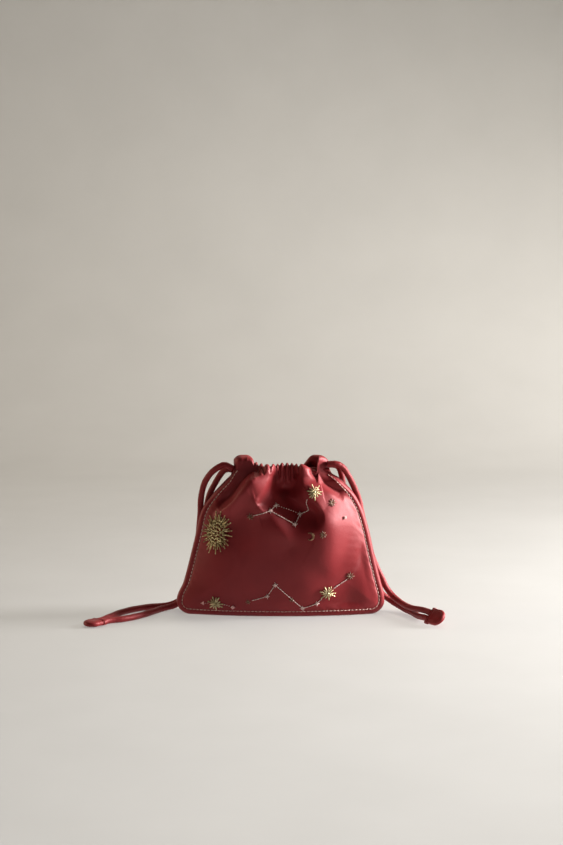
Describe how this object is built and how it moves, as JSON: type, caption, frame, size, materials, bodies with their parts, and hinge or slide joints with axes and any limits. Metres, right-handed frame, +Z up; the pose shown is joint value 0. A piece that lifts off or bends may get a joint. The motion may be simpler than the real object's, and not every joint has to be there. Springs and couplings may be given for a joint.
{
  "type": "drawstring mini bag",
  "caption": "Gathered satin drawstring mini bag with a stitched edge, rouleau cords that end in sewn tabs, and raised gold celestial embroidery.",
  "frame": {"origin": "on the surface the bag stands on, under the middle of the bag without its drawstrings", "axes": "+X across the bag, to the right seen from the front; +Y from the front to the back; +Z up"},
  "size_m": [0.343, 0.0994, 0.1553],
  "materials": {
    "satin": "burgundy satin with a soft sheen",
    "cord_satin": "burgundy satin rouleau",
    "gold_thread": "coiled metal purl and thread",
    "stitch_thread": "pink-beige sewing thread",
    "bead": "glossy rose glass bead"
  },
  "bodies": {
    "root": {"front_panel": "satin", "back_panel": "satin", "front_casing": "satin", "back_casing": "satin", "cord_left_casing": "cord_satin", "cord_right_casing": "cord_satin", "cord_left_front": "cord_satin", "cord_left_back": "cord_satin", "cord_right_front": "cord_satin", "cord_right_back": "cord_satin", "cord_end_left": "cord_satin", "cord_end_right": "cord_satin", "sun_motif": "gold_thread", "star_upper": "gold_thread", "star_right": "gold_thread", "star_left": "gold_thread", "moon_motif": "gold_thread"}
  },
  "joints": []
}
